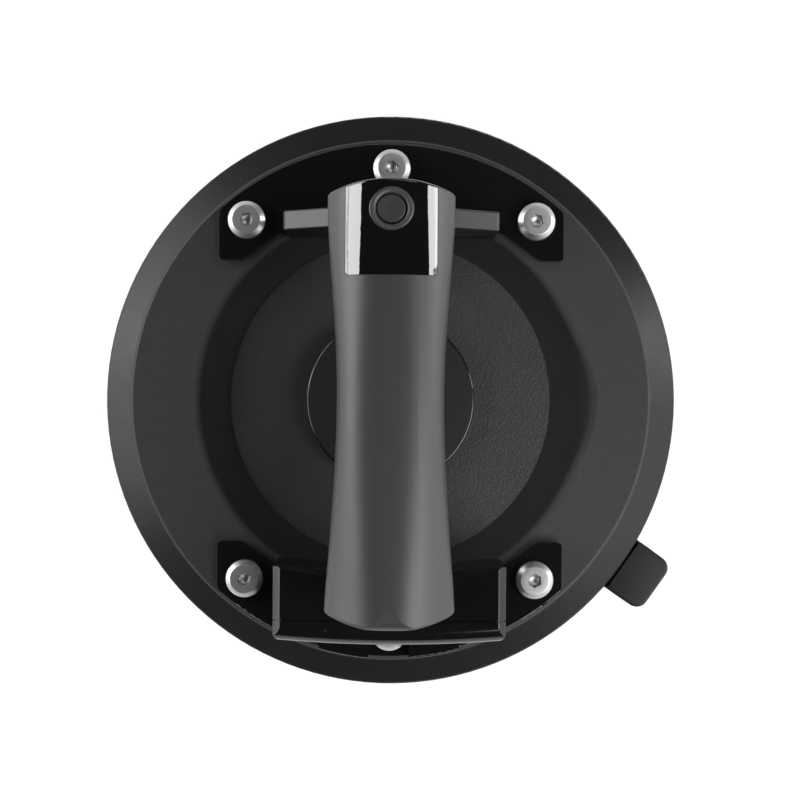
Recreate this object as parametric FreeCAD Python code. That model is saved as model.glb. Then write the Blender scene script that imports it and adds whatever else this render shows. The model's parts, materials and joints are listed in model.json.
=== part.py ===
import FreeCAD, Part
import math
import os

from FreeCAD import Vector

# A battery vacuum lifter for floor tiles. A stiff plate with a moulded rubber ring makes the suction disc, and
# a bow handle stands on it. The handle holds the button, the control board and a diaphragm pump with its motor,
# and the box under its rear end holds the battery cell.
# Millimetres. +Z is up, +Y is the front, where the button is, and the origin is the middle of the face that
# the seal rests on.

# Suction disc
DISC_R = 100.0
SEAL_TOP_Z = 4.2
RIM_Z = 8.0
PLATEAU_Z = 15.0
PLATEAU_OUTER_R = 90.0
PLATEAU_INNER_R = 67.6
PLATEAU_INNER_ROUND = 3.0
BOWL_POINT_R, BOWL_POINT_ANGLE = 71.3, 28.0
BOWL_R = 57.5
BOWL_Z = 7.0
RUBBER = 3.5
PLATE_R = 92.0
PLATE_Z = 3.0
PLATE_TOP_Z = PLATEAU_Z - RUBBER
PLATE_CONE_R = 66.8
HUB_R = 29.4
HUB_Z = 12.0
HUB_SEAT_R = 20.0
FILTER_R = 14.0
FILTER_Z = (5.8, 8.0)
GRILLE_HOLE_R = 1.1
GROOVE_COUNT = 12
GROOVE_DEPTH = 0.8
CHANNEL_HALF = 1.5
CHANNEL_Z = (4.0, 5.4)
INSERT_R, INSERT_FLOOR = 4.0, 1.5
TAB_ANGLE = -35.0
TAB_WIDTH = 20.5
TAB_REACH = 115.6
TAB_THICK = 2.6
TAB_CORNER = 4.2
TAB_HINGE_R = 101.7
TAB_HINGE_Z = 2.9

# Feet and foot screws
FOOT_R = 88.7
FOOT_Z = PLATEAU_Z + 4.0
FOOT_EDGE_Y = 58.0
FOOT_CORNER = 5.5
FRONT_LOBE_Y, REAR_LOBE_Y = 48.2, 49.0
LOBE_X, LOBE_INNER_X, LOBE_FOOT_X = 59.4, 51.5, 38.0
CORNER_SCREW_X, CORNER_SCREW_Y = 49.9, 61.7
END_SCREW_Y = 79.8
SCREW_R = 3.0
SCREW_HEAD_R = 6.4
SCREW_HEAD = 4.0
HEAD_BEVEL = 1.6
SOCKET_ACROSS, SOCKET_DEPTH = 4.1, 2.2
SOCKET_TURN = 20.0

# Front wall
WALL_FRONT_Y, WALL_REAR_Y = 62.4, 56.0
WALL_HALF = 35.8
WALL_SHOULDER_Z = 41.5
WALL_EDGE_ROUND = 0.6
NECK_Z, NECK_TOP_Z = 53.0, 60.0
PIPE_Y = 59.2
PIPE_R = 1.6
PIPE_BORE_R = 2.0
GROMMET_R = 6.0
GROMMET_TOP_Z = FOOT_Z - 1.5

# Rear box
BOX_HALF = 38.3
BOX_TOP_Z = 47.0
BOX_FRONT_Y = -54.7
DISH_HALF, DISH_SAG, DISH_RIM = 31.0, 2.8, 1.6
BOX_CHAMFER, BOX_CHAMFER_DROP = 2.4, 1.75
SEAM_Y = -72.6
BOX_REAR_Y = -80.9
BOX_REAR_BOW = 1.7
BOX_FLOOR_Z = 24.5
BOX_WALL = 2.4
COVER_SCREW_X, COVER_SCREW_Z = 31.0, 21.8
COVER_HEAD_Y = -78.4
COVER_SCREW_R, COVER_HEAD_R = 1.25, 2.4
LEAD_Y = -62.5
CELL_R, CELL_LENGTH = 9.2, 65.0
CELL_Y, CELL_Z = -68.7, 34.0

# Handle: a station is y, half width, half of the flat top, drop from the top to the side, and the bottom's z
HANDLE_TOP_Z = 88.0
HANDLE_BELT_Z = 71.0
HANDLE_FRONT_Y, HANDLE_REAR_Y = 67.0, -70.0
FRONT_ARC_R, REAR_ARC_R = 58.0, 52.0
END_ROUND = 0.9
REAR_CROWN_ROUND = 3.8
HANDLE_CHIN = 7.0
HANDLE_STATIONS = [
    (76.0, 19.6, 8.5, 9.5, 53.5),
    (52.0, 19.6, 8.5, 9.5, 53.5),
    (32.0, 18.1, 8.5, 7.5, 54.6),
    (13.0, 16.9, 8.5, 6.0, 55.5),
    (-13.0, 16.9, 8.5, 6.0, 55.5),
    (-32.0, 17.9, 8.5, 7.5, 54.6),
    (-52.0, 19.4, 8.0, 9.5, 53.5),
    (-78.0, 19.8, 7.5, 9.5, 53.5),
]
GRIP = 2.2
SHELL = 1.8
CAVITY = GRIP + SHELL
SPLIT_Z = 70.0
NECK_HALF = 15.0
REAR_NECK_Y = (-66.0, -58.5)
HANDLE_SCREWS = [(9.0, PIPE_Y), (9.0, -61.4)]
HANDLE_SCREW_R, HANDLE_HEAD_R, HANDLE_HEAD_Z = 2.0, 3.5, 59.5
SHELL_SCREWS = [(9.0, 40.8), (9.0, -36.5)]
SHELL_SCREW_R, SHELL_HEAD_R, SHELL_HEAD_Z = 1.1, 2.2, 79.0

# Control panel, button and board
PANEL_HALF = 14.0
PANEL_REAR_Y = 37.9
PANEL_LOW_Z = 77.0
BUTTON_Y = 57.8
BEZEL_R = 6.9
SEAT_R = 6.0
CAP_R = 4.3
CAP_GAP = 0.3
CAP_TOP_Z = 87.3
BOARD_Z, BOARD_THICK = 76.0, 1.6
BOARD_TOP_Z = BOARD_Z + BOARD_THICK
BOARD_SCREWS = [(10.3, 46.5), (10.3, 59.5)]
BOARD_SCREW_R, BOARD_HEAD_R, BOARD_SCREW_TOP_Z = 0.8, 1.6, 80.0
CHARGE_BOARD_Y = (-63.0, -41.0)

# Pump and motor, on an axis along Y
PUMP_Z = 71.75
PUMP_R = 11.4
MOTOR_R = 10.2
CAN_BORE_R = 9.4
SHAFT_R, BUSH_R = 1.0, 3.0
MOTOR_REAR_Y, MOTOR_FRONT_Y = -26.0, 8.0
MOUNT_R = 11.9
MOUNT_Y = (-18.0, 2.0)
FRAME_Y = 20.0
HEAD_Y = (23.5, 31.0)
CRANK = 1.2
INLET_Z = PUMP_Z - 4.5
PUMP_SCREW_R = 10.2
PUMP_SCREW_PHASE = 30
CUP_R = 5.2
OUTLET_Z = PUMP_Z + 4.5
HOSE_R = 2.6


def box(x0, x1, y0, y1, z0, z1):
    return Part.makeBox(x1 - x0, y1 - y0, z1 - z0, Vector(x0, y0, z0))


def upright(radius, x, y, z0, z1):
    return Part.makeCylinder(radius, z1 - z0, Vector(x, y, z0))


def along_y(radius, y0, y1, x=0.0, z=PUMP_Z):
    return Part.makeCylinder(radius, y1 - y0, Vector(x, y0, z), Vector(0, 1, 0))


def fuse(shapes):
    return shapes[0].fuse(shapes[1:]).removeSplitter()


def mirrored(places):
    """The places (x, y) on both sides of the middle plane."""
    return [(sx * x, y) for x, y in places for sx in (-1, 1)]


def xy(a, b):
    return Vector(a, b, 0)


def xz(a, b):
    return Vector(a, 0, b)


def yz(a, b):
    return Vector(0, a, b)


def corner(before, here, after, radius):
    """Start, middle and end of the arc that rounds the corner at here."""
    back = (before - here).normalize()
    on = (after - here).normalize()
    half = back.getAngle(on) / 2
    if radius <= 0 or half > math.pi / 2 - 1e-6:
        return here, None, here
    setback = radius / math.tan(half)
    middle = here + (back + on).normalize() * (radius / math.sin(half) - radius)
    return here + back * setback, middle, here + on * setback


def outline(corners, plane):
    """Face inside the corners (a, b, radius), drawn in a plane."""
    points = [plane(a, b) for a, b, _ in corners]
    rounds = [
        corner(points[i - 1], points[i], points[(i + 1) % len(points)], corners[i][2])
        for i in range(len(points))
    ]
    edges = []
    for i, (start, middle, end) in enumerate(rounds):
        if middle is not None:
            edges.append(Part.Arc(start, middle, end).toShape())
        ahead = rounds[(i + 1) % len(rounds)][0]
        if end.distanceToPoint(ahead) > 1e-6:
            edges.append(Part.makeLine(end, ahead))
    return Part.Face(Part.Wire(edges))


def turned(corners):
    """Solid turned about Z from corners (radius, z, rounding)."""
    return outline(corners, xz).revolve(Vector(0, 0, 0), Vector(0, 0, 1), 360)


def prism(corners, plane, start, length):
    """Outline moved by start and pushed by length along the plane's normal."""
    normal = {xy: Vector(0, 0, 1), xz: Vector(0, 1, 0), yz: Vector(1, 0, 0)}[plane]
    face = outline(corners, plane)
    face.translate(normal * start)
    return face.extrude(normal * length)


def handle_section(station, inset):
    """Closed curve round the grip at one station, inside its surface by inset."""
    y, half_width, half_flat, drop, bottom = station
    side = half_width - inset
    top = HANDLE_TOP_Z - inset
    low = bottom + inset
    right = [
        (half_flat, top), (side, top - drop), (side, HANDLE_BELT_Z), (side, low + HANDLE_CHIN),
        (half_flat, low),
    ]
    poles = [(0, top)] + right + [(0, low)] + [(-x, z) for x, z in reversed(right)]
    curve = Part.BSplineCurve()
    curve.buildFromPoles([Vector(x, y, z) for x, z in poles], True, 3)
    return Part.Wire([curve.toShape()])


def handle_plan(inset):
    """Prism with the grip's arched ends, seen from above."""
    reach = 24.0
    arcs = ((HANDLE_FRONT_Y - inset, FRONT_ARC_R - inset), (HANDLE_REAR_Y + inset, inset - REAR_ARC_R))
    ends = []
    for tip, radius in arcs:
        side = tip - radius + math.copysign(math.sqrt(radius**2 - reach**2), radius)
        ends.append((side, tip))
    (front_side, front), (rear_side, rear) = ends
    edges = [
        Part.Arc(xy(-reach, front_side), xy(0, front), xy(reach, front_side)).toShape(),
        Part.makeLine(xy(reach, front_side), xy(reach, rear_side)),
        Part.Arc(xy(reach, rear_side), xy(0, rear), xy(-reach, rear_side)).toShape(),
        Part.makeLine(xy(-reach, rear_side), xy(-reach, front_side)),
    ]
    face = Part.Face(Part.Wire(edges))
    face.translate(Vector(0, 0, 40))
    return face.extrude(Vector(0, 0, 60))


def rear_crown(inset):
    """Block whose rounded edge lets the grip's crown fall away at its rear end."""
    rear, top = HANDLE_REAR_Y + inset, HANDLE_TOP_Z - inset
    corners = [(rear, 40, 0), (rear, top - 0.4, REAR_CROWN_ROUND - inset), (rear + 30, top + 1.6, 0),
               (80, top + 5, 0), (80, 40, 0)]
    return prism(corners, yz, -30, 60)


def handle_form(inset, rounding=0.0):
    """The grip's waisted form, inside its surface by inset, with rounded ends."""
    loft = Part.makeLoft([handle_section(s, inset) for s in HANDLE_STATIONS], True)
    form = loft.common(handle_plan(inset))
    if inset < REAR_CROWN_ROUND:
        form = form.common(rear_crown(inset))
    if rounding > 0:
        form = form.makeFillet(rounding, [e for e in form.Edges if end_edge(e)])
    return form


def end_edge(edge):
    """Whether an edge runs round one end of the grip, below the crown at the rear."""
    around = edge.BoundBox
    return around.YMin > 50 or (around.YMax < -50 and around.ZLength > 20 and around.XLength > 5)


def bowl_edge(radius, point, z):
    """Closed curve round the bowl: a circle that runs out to a rounded point towards +X."""
    turn = math.radians(BOWL_POINT_ANGLE)
    lead = (point - radius * math.cos(turn)) / (0.75 * math.sin(turn))
    sides = []
    for sy in (-1, 1):
        leave = Vector(radius * math.cos(turn), sy * radius * math.sin(turn), z)
        sides.append((leave, leave + Vector(math.sin(turn), -sy * math.cos(turn), 0) * lead))
    (low, low_pole), (high, high_pole) = sides
    tip = Part.BezierCurve()
    tip.setPoles([low, low_pole, high_pole, high])
    return Part.Wire([tip.toShape(), Part.Arc(high, Vector(-radius, 0, z), low).toShape()])


def bowl():
    """Space over the plate's middle, whose wall slopes out to the plateau."""
    low, high = BOWL_Z + 0.3, PLATEAU_Z
    sections = []
    for z in (low - 1, high + 1):
        share = (z - low) / (high - low)
        circle = BOWL_R + share * (PLATEAU_INNER_R - BOWL_R)
        sections.append(bowl_edge(circle, BOWL_R + share * (BOWL_POINT_R - BOWL_R), z))
    return Part.makeLoft(sections, True, True)


def rubber_pad():
    pad = turned([
        (DISC_R, SEAL_TOP_Z, 0), (DISC_R, RIM_Z, 1.5), (PLATEAU_OUTER_R + 0.5, PLATEAU_Z - 0.9, 0),
        (PLATEAU_OUTER_R - 0.3, PLATEAU_Z, 0.6), (BOWL_R, PLATEAU_Z, 0),
        (BOWL_R, BOWL_Z - 2.5, 0), (BOWL_R + 1, BOWL_Z - 2.5, 0), (PLATE_CONE_R, PLATE_TOP_Z, 0),
        (PLATE_R - 4, PLATE_TOP_Z, 0), (PLATE_R, PLATE_TOP_Z - 2.8, 0), (PLATE_R, SEAL_TOP_Z, 0),
    ])
    pad = pad.cut(bowl())
    pad = pad.makeFillet(PLATEAU_INNER_ROUND, [e for e in pad.Edges if plateau_edge(e)])
    holes = [upright(SCREW_R, x, y, PLATE_TOP_Z - 1, PLATEAU_Z + 1) for x, y in foot_screw_places()]
    return pad.cut(holes + [upright(PIPE_BORE_R, 0, PIPE_Y, 0, PLATEAU_Z)])


def plateau_edge(edge):
    """Whether an edge runs between the plateau and the bowl's wall."""
    around = edge.BoundBox
    reach = max(around.XMax, -around.XMin)
    return around.ZMin > PLATEAU_Z - 0.01 and PLATEAU_INNER_R - 1 < reach < BOWL_POINT_R + 1


def seal_ring():
    ring = turned([
        (PLATE_R, SEAL_TOP_Z, 0), (DISC_R - 0.4, SEAL_TOP_Z, 0), (DISC_R, SEAL_TOP_Z - 0.6, 0),
        (DISC_R - 0.6, 0, 0.5), (93.5, 0, 0.5), (89.5, PLATE_Z, 0), (PLATE_R, PLATE_Z, 0),
    ])
    tongue = box(97, TAB_HINGE_R + 1.5, -TAB_WIDTH / 2, TAB_WIDTH / 2, 0.5, 1.2)
    tongue.rotate(Vector(0, 0, 0), Vector(0, 0, 1), TAB_ANGLE)
    return fuse([ring, tongue])


def pull_tab():
    """Flat rubber tab whose root turns in front of the rim."""
    half = TAB_WIDTH / 2
    low = TAB_HINGE_Z - TAB_THICK / 2
    corners = [
        (TAB_HINGE_R, -half, 0), (TAB_REACH, -half, TAB_CORNER), (TAB_REACH, half, TAB_CORNER),
        (TAB_HINGE_R, half, 0),
    ]
    plate = prism(corners, xy, low, TAB_THICK)
    root = along_y(TAB_THICK / 2, -half, half, TAB_HINGE_R, TAB_HINGE_Z)
    tab = fuse([plate, root])
    tab.rotate(Vector(0, 0, 0), Vector(0, 0, 1), TAB_ANGLE)
    return tab


def air_channel(y0, y1):
    """Stretch of the channel that joins the filter to the suction pipe."""
    return box(-CHANNEL_HALF, CHANNEL_HALF, y0, y1, *CHANNEL_Z)


def foot_screw_places():
    corners = [(sx * CORNER_SCREW_X, sy * CORNER_SCREW_Y) for sx in (-1, 1) for sy in (-1, 1)]
    return corners + [(0, END_SCREW_Y), (0, -END_SCREW_Y)]


def air_grooves():
    """Shallow radial grooves that spread the vacuum where a tile bends up against the plate."""
    grooves = []
    for i in range(GROOVE_COUNT):
        groove = box(FILTER_R - 1, PLATE_R - 6, -1.5, 1.5, PLATE_Z, PLATE_Z + GROOVE_DEPTH)
        groove.rotate(Vector(0, 0, 0), Vector(0, 0, 1), 360.0 / GROOVE_COUNT * i)
        grooves.append(groove)
    return grooves


def backing_plate():
    plate = turned([
        (HUB_SEAT_R, PLATE_Z, 0), (PLATE_R, PLATE_Z, 0), (PLATE_R, PLATE_TOP_Z - 2.8, 0),
        (PLATE_R - 4, PLATE_TOP_Z, 0), (PLATE_CONE_R, PLATE_TOP_Z, 0), (BOWL_R + 1, BOWL_Z - 2.5, 0),
        (BOWL_R, BOWL_Z - 2.5, 0), (BOWL_R - 0.4, BOWL_Z - 2.5, 0), (BOWL_R - 0.4, BOWL_Z, 0.5),
        (HUB_SEAT_R, BOWL_Z, 0),
    ])
    bores = [upright(INSERT_R, x, y, PLATE_Z, PLATE_TOP_Z) for x, y in foot_screw_places()]
    pipe_bore = upright(PIPE_BORE_R, 0, PIPE_Y, CHANNEL_Z[0], PLATE_TOP_Z)
    return plate.cut(air_grooves() + bores + [air_channel(HUB_SEAT_R - 2, PIPE_Y + 0.5), pipe_bore])


def plate_inserts():
    """Threaded inserts, closed at the bottom, so that the plate stays airtight."""
    inserts = []
    for x, y in foot_screw_places():
        insert = upright(INSERT_R, x, y, PLATE_Z, PLATE_TOP_Z)
        inserts.append(insert.cut(upright(SCREW_R, x, y, PLATE_Z + INSERT_FLOOR, PLATE_TOP_Z)))
    return Part.makeCompound(inserts)


def centre_hub():
    hub = turned([
        (0, 9.5, 0), (FILTER_R, 9.5, 0), (FILTER_R, PLATE_Z, 0), (HUB_SEAT_R, PLATE_Z, 0),
        (HUB_SEAT_R, BOWL_Z, 0), (HUB_R, BOWL_Z, 0), (HUB_R, HUB_Z, 0.9), (24, HUB_Z, 0),
        (23.2, HUB_Z - 0.5, 0), (0, HUB_Z - 0.5, 0),
    ])
    return hub.cut(air_grooves() + [air_channel(FILTER_R - 2, HUB_SEAT_R + 1)])


def intake_filter():
    return upright(FILTER_R, 0, 0, *FILTER_Z)


def filter_cover():
    """Grille that holds the filter in the hub, with a ring of round holes."""
    low, rim_r = PLATE_Z + 0.2, FILTER_R - 2
    cover = turned([
        (0, low, 0), (FILTER_R, low, 0), (FILTER_R, FILTER_Z[0], 0), (rim_r, FILTER_Z[0], 0),
        (rim_r, low + 1.2, 0), (0, low + 1.2, 0),
    ])
    holes = [upright(GRILLE_HOLE_R, 0, 0, PLATE_Z, 5)]
    for count, radius in ((6, 4.2), (12, 8.6)):
        for i in range(count):
            angle = 2 * math.pi * i / count
            holes.append(upright(GRILLE_HOLE_R, radius * math.cos(angle), radius * math.sin(angle), PLATE_Z, 5))
    return cover.cut(holes + [air_channel(rim_r - 1, FILTER_R + 1)])


def foot_screws():
    """Flat heads with a bevelled edge and a hexagon socket with a drilled bottom."""
    corner_r = SOCKET_ACROSS / math.cos(math.pi / 6) / 2
    top = FOOT_Z + SCREW_HEAD
    low = PLATE_Z + INSERT_FLOOR + 1
    screws = []
    for x, y in foot_screw_places():
        blank = turned([
            (0, low, 0), (SCREW_R, low, 0), (SCREW_R, FOOT_Z, 0), (SCREW_HEAD_R, FOOT_Z, 0),
            (SCREW_HEAD_R, top - HEAD_BEVEL, 0), (SCREW_HEAD_R - HEAD_BEVEL, top, 0), (0, top, 0),
        ])
        hexagon = [
            (corner_r * math.cos(math.pi / 3 * i), corner_r * math.sin(math.pi / 3 * i), 0)
            for i in range(6)
        ]
        socket = prism(hexagon, xy, top - SOCKET_DEPTH, SOCKET_DEPTH + 1)
        drilled = Part.makeCone(0, 2.0, 1.2, Vector(0, 0, top - SOCKET_DEPTH - 1.2))
        screw = blank.cut([socket, drilled])
        screw.rotate(Vector(0, 0, 0), Vector(0, 0, 1), SOCKET_TURN)
        screw.translate(Vector(x, y, 0))
        screws.append(screw)
    return Part.makeCompound(screws)


def foot_plate(lobe):
    """Front foot plate: arched outside, with a rounded lobe round each corner screw."""
    rise = math.sqrt(FOOT_R**2 - LOBE_X**2)
    left = [(-LOBE_FOOT_X, FOOT_EDGE_Y, 2), (-LOBE_INNER_X, lobe, 2), (-LOBE_X, lobe, 1.4),
            (-LOBE_X, rise, FOOT_CORNER)]
    right = [(-x, y, r) for x, y, r in reversed(left)]
    tangents_meet = [(0, FOOT_R**2 / rise, 0)]
    disc = turned([(0, PLATEAU_Z, 0), (FOOT_R, PLATEAU_Z, 0), (FOOT_R, FOOT_Z, 0.7), (0, FOOT_Z, 0)])
    return disc.common(prism(left + tangents_meet + right, xy, PLATEAU_Z, FOOT_Z - PLATEAU_Z))


def foot_holes():
    return [upright(SCREW_R, x, y, PLATEAU_Z, FOOT_Z) for x, y in foot_screw_places()]


def front_pedestal():
    """Foot plate with a thin cross wall whose shoulders slope up to the handle."""
    foot = foot_plate(FRONT_LOBE_Y)
    shoulder = [(WALL_HALF, PLATEAU_Z, 0), (WALL_HALF, WALL_SHOULDER_Z, 2), (21, NECK_Z - 2.5, 3),
                (NECK_HALF + 1.5, NECK_Z, 0), (NECK_HALF, NECK_Z, 0), (NECK_HALF, NECK_TOP_Z, 0)]
    left = [(-x, z, r) for x, z, r in reversed(shoulder)]
    wall = prism(shoulder + left, xz, WALL_REAR_Y, WALL_FRONT_Y - WALL_REAR_Y)
    wall = wall.makeFillet(WALL_EDGE_ROUND, [e for e in wall.Edges if shoulder_edge(e)])
    pedestal = fuse([foot, wall]).cut(handle_form(GRIP))
    cuts = foot_holes() + [upright(PIPE_R, 0, PIPE_Y, 0, 70)] + handle_screw_bores()
    cuts.append(upright(GROMMET_R, 0, PIPE_Y, PLATEAU_Z, GROMMET_TOP_Z))
    return pedestal.cut(cuts)


def shoulder_edge(edge):
    """Whether an edge runs along the front wall's side or sloping shoulder."""
    around = edge.BoundBox
    return around.YLength < 0.1 and around.ZMin > PLATEAU_Z - 0.1 and around.ZMax < NECK_Z - 0.5


def handle_screw_bores():
    return [upright(HANDLE_SCREW_R, x, y, 46, 62) for x, y in mirrored(HANDLE_SCREWS)]


def rear_foot():
    """The front foot plate turned round, with a thicker rim each side of the middle screw."""
    foot = foot_plate(REAR_LOBE_Y)
    top = BOX_FLOOR_Z - 0.5
    rim = turned([(0, FOOT_Z, 0), (FOOT_R, FOOT_Z, 0), (FOOT_R, top, 0.7), (0, top, 0)])
    foot.rotate(Vector(0, 0, 0), Vector(0, 0, 1), 180)
    rim = rim.common(box(-24, 24, -90, SEAM_Y, FOOT_Z, BOX_FLOOR_Z))
    notch = box(-7.2, 6.8, -90, SEAM_Y, FOOT_Z, BOX_FLOOR_Z)
    return fuse([foot, rim.cut(notch)])


def box_front_cutter():
    """Large turned block that gives the box's front its hollow curve and bevelled rim."""
    radius = DISH_HALF**2 / (2 * DISH_SAG) + DISH_SAG / 2
    block = turned([
        (0, 0, 0), (radius, 0, 0), (radius, BOX_TOP_Z - DISH_RIM, 0), (radius + DISH_RIM, BOX_TOP_Z, 0),
        (radius + DISH_RIM + 5, BOX_TOP_Z + 5, 0), (0, BOX_TOP_Z + 5, 0),
    ])
    block.translate(Vector(0, BOX_FRONT_Y - DISH_SAG + radius, 0))
    return block


def box_section(inset):
    """Section across the box with its upper edges cut off."""
    half = BOX_HALF - inset
    top = BOX_TOP_Z - inset
    right = [(half, FOOT_Z, 0), (half, top - BOX_CHAMFER_DROP, 0.6), (half - BOX_CHAMFER, top, 0.6)]
    return [(-x, z, r) for x, z, r in right] + list(reversed(right))


def box_cavity(y0, y1):
    return box(-BOX_HALF + BOX_WALL, BOX_HALF - BOX_WALL, y0, y1, BOX_FLOOR_Z, BOX_TOP_Z - BOX_WALL)


def rear_housing():
    """Foot plate with the battery box and the neck that carries the handle's rear end."""
    groove = 0.45
    body = prism(box_section(0), xz, SEAM_Y + groove, BOX_FRONT_Y - SEAM_Y - groove)
    lip = prism(box_section(0.4), xz, SEAM_Y, groove)
    rear, front = REAR_NECK_Y
    side = [(NECK_HALF + 6, BOX_TOP_Z - 1, 0), (NECK_HALF + 1, NECK_Z, 4), (NECK_HALF, NECK_Z, 0),
            (NECK_HALF, NECK_TOP_Z, 0)]
    neck = prism([(-x, z, r) for x, z, r in side] + list(reversed(side)), xz, rear, front - rear)
    shell = body.cut(box_front_cutter())
    housing = fuse([rear_foot(), shell, lip, neck]).cut(handle_form(GRIP))
    cuts = [box_cavity(SEAM_Y, BOX_FRONT_Y - DISH_SAG - 1.9), lead_bore()] + foot_holes() + handle_screw_bores()
    return housing.cut(cuts + cover_bores(COVER_SCREW_R, SEAM_Y, SEAM_Y + 9))


def cover_bores(radius, y0, y1):
    return [along_y(radius, y0, y1, sx * COVER_SCREW_X, COVER_SCREW_Z) for sx in (-1, 1)]


def lead_bore():
    return upright(2.4, 0, LEAD_Y, 40, 62)


def rear_cover():
    """Cover with a deep rounded, bowed rear edge, open towards the box and raised over the middle screw."""
    corner_y = BOX_REAR_Y + BOX_REAR_BOW
    section = prism(box_section(0), xz, BOX_REAR_Y, SEAM_Y - BOX_REAR_Y)
    radius = BOX_HALF**2 / (2 * BOX_REAR_BOW) + BOX_REAR_BOW / 2
    bow = turned([(0, FOOT_Z, 0), (radius, FOOT_Z, 2), (radius, BOX_TOP_Z, 5.5), (0, BOX_TOP_Z, 0)])
    bow.translate(Vector(0, BOX_REAR_Y + radius, 0))
    left = [(-BOX_HALF, SEAM_Y, 0), (-BOX_HALF, corner_y, 3), (-20, BOX_REAR_Y - 1, 0)]
    plan = prism(left + [(-x, y, r) for x, y, r in reversed(left)], xy, 0, 60)
    cover = section.common(bow).common(plan)
    notch = box(-24.3, 24.3, BOX_REAR_Y, SEAM_Y, 0, BOX_FLOOR_Z - 0.3)
    lift = box(-50, 50, BOX_REAR_Y, SEAM_Y, 0, FOOT_Z + 0.3)
    holes = cover_bores(COVER_SCREW_R, BOX_REAR_Y - 1, SEAM_Y)
    sinks = cover_bores(COVER_HEAD_R, BOX_REAR_Y - 1, COVER_HEAD_Y)
    return cover.cut([box_cavity(BOX_REAR_Y + 2.3, SEAM_Y), notch, lift] + holes + sinks)


def cover_screws():
    """Small screws with sunk heads and cross slots."""
    head_y = COVER_HEAD_Y - 1.4
    screws = []
    for sx in (-1, 1):
        head = along_y(COVER_HEAD_R, head_y, COVER_HEAD_Y, sx * COVER_SCREW_X, COVER_SCREW_Z)
        shank = along_y(COVER_SCREW_R, COVER_HEAD_Y, SEAM_Y + 8, sx * COVER_SCREW_X, COVER_SCREW_Z)
        slots = fuse([box(-w, w, head_y, head_y + 0.8, -h, h) for w, h in ((0.35, 1.5), (1.5, 0.35))])
        slots.translate(Vector(sx * COVER_SCREW_X, 0, COVER_SCREW_Z))
        screws.append(fuse([head, shank]).cut(slots))
    return Part.makeCompound(screws)


def panel_window(gap):
    """Block over the front end of the grip where the control panel is let in."""
    half = PANEL_HALF + gap
    rear = PANEL_REAR_Y - gap
    corners = [(-half, rear, 1.2), (half, rear, 1.2), (half, 80, 0), (-half, 80, 0)]
    return prism(corners, xy, PANEL_LOW_Z - gap, 30)


def neck_windows(gap):
    rear, front = REAR_NECK_Y
    half = NECK_HALF + gap
    return [
        box(-half, half, WALL_REAR_Y - gap, WALL_FRONT_Y + gap, 45, 62),
        box(-half, half, rear - gap, front + gap, 45, 62),
    ]


def socket_slot(gap, y0, y1):
    """Rounded slot for the charging socket in the handle's rear end."""
    half, low, high = 4.5 + gap, SPLIT_Z + 1.6 - gap, SPLIT_Z + 4.9 + gap
    radius = (high - low) / 2 - 0.01
    return prism([(-half, low, radius), (half, low, radius), (half, high, radius), (-half, high, radius)],
                 xz, y0, y1 - y0)


def grip_sleeve(outer, core):
    cuts = [core, panel_window(0.15), socket_slot(0.5, -75, -60)] + neck_windows(0.15)
    return outer.cut(cuts)


def control_panel(outer, core):
    """Glossy panel that follows the grip's crown and folds over its front end."""
    panel = outer.cut(core).common(panel_window(0))
    return panel.cut(upright(BEZEL_R, 0, BUTTON_Y, 80, 90))


def button_bezel():
    bezel = turned([
        (CAP_R + CAP_GAP, 85.2, 0), (SEAT_R, 85.2, 0), (SEAT_R, 85.95, 0), (BEZEL_R, 85.95, 0),
        (BEZEL_R, 87.75, 0.3), (BEZEL_R - 0.7, 87.75, 0.3),
        (CAP_R + CAP_GAP + 0.3, 86.5, 0), (CAP_R + CAP_GAP, 86.5, 0),
    ])
    bezel.translate(Vector(0, BUTTON_Y, 0))
    return bezel


def button_cap():
    cap = turned([
        (0, 82.0, 0), (1.7, 82.0, 0), (1.7, 84.0, 0), (5.4, 84.0, 0), (5.4, 84.8, 0), (CAP_R, 84.8, 0),
        (CAP_R, CAP_TOP_Z, 0.5), (0, CAP_TOP_Z, 0),
    ])
    cap.translate(Vector(0, BUTTON_Y, 0))
    return cap


def button_dome():
    """Silicone skirt that seals the button and lifts it back."""
    dome = turned([(4.4, BOARD_TOP_Z, 0), (5.1, BOARD_TOP_Z, 0), (5.0, 84.0, 0), (4.4, 84.0, 0)])
    dome.translate(Vector(0, BUTTON_Y, 0))
    return dome


def tact_switch():
    body = box(-3, 3, BUTTON_Y - 3, BUTTON_Y + 3, BOARD_TOP_Z, 81.0)
    return body.cut(upright(1.8, 0, BUTTON_Y, 78.0, 82))


def switch_plunger():
    return upright(1.7, 0, BUTTON_Y, 79.2, 82.0)


def control_board():
    board = fuse([box(-12, 12, 44, 60.8, BOARD_Z, BOARD_TOP_Z), box(-8, 8, 60, 62.2, BOARD_Z, BOARD_TOP_Z)])
    return board.cut(board_screw_bores(BOARD_Z))


def board_screw_bores(low):
    return [upright(BOARD_SCREW_R, x, y, low, BOARD_SCREW_TOP_Z) for x, y in mirrored(BOARD_SCREWS)]


def board_screws():
    screws = []
    for x, y in mirrored(BOARD_SCREWS):
        head = upright(BOARD_HEAD_R, x, y, BOARD_Z - 1.2, BOARD_Z)
        screws.append(fuse([head, upright(BOARD_SCREW_R, x, y, BOARD_Z, BOARD_SCREW_TOP_Z)]))
    return Part.makeCompound(screws)


def status_display():
    return box(-7, 7, 44.3, 50.3, BOARD_TOP_Z, 80.2)


def pressure_sensor():
    return box(-3.5, 3.5, 44.5, 50.5, 73.0, BOARD_Z)


def pump_ribs():
    """Cradle ribs under the pump's rubber rings."""
    ribs = []
    for y in MOUNT_Y:
        rib = box(-20, 20, y - 1.3, y + 1.3, 50, SPLIT_Z)
        ribs.append(rib.cut(along_y(MOUNT_R, y - 2, y + 2)))
    return ribs


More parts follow.
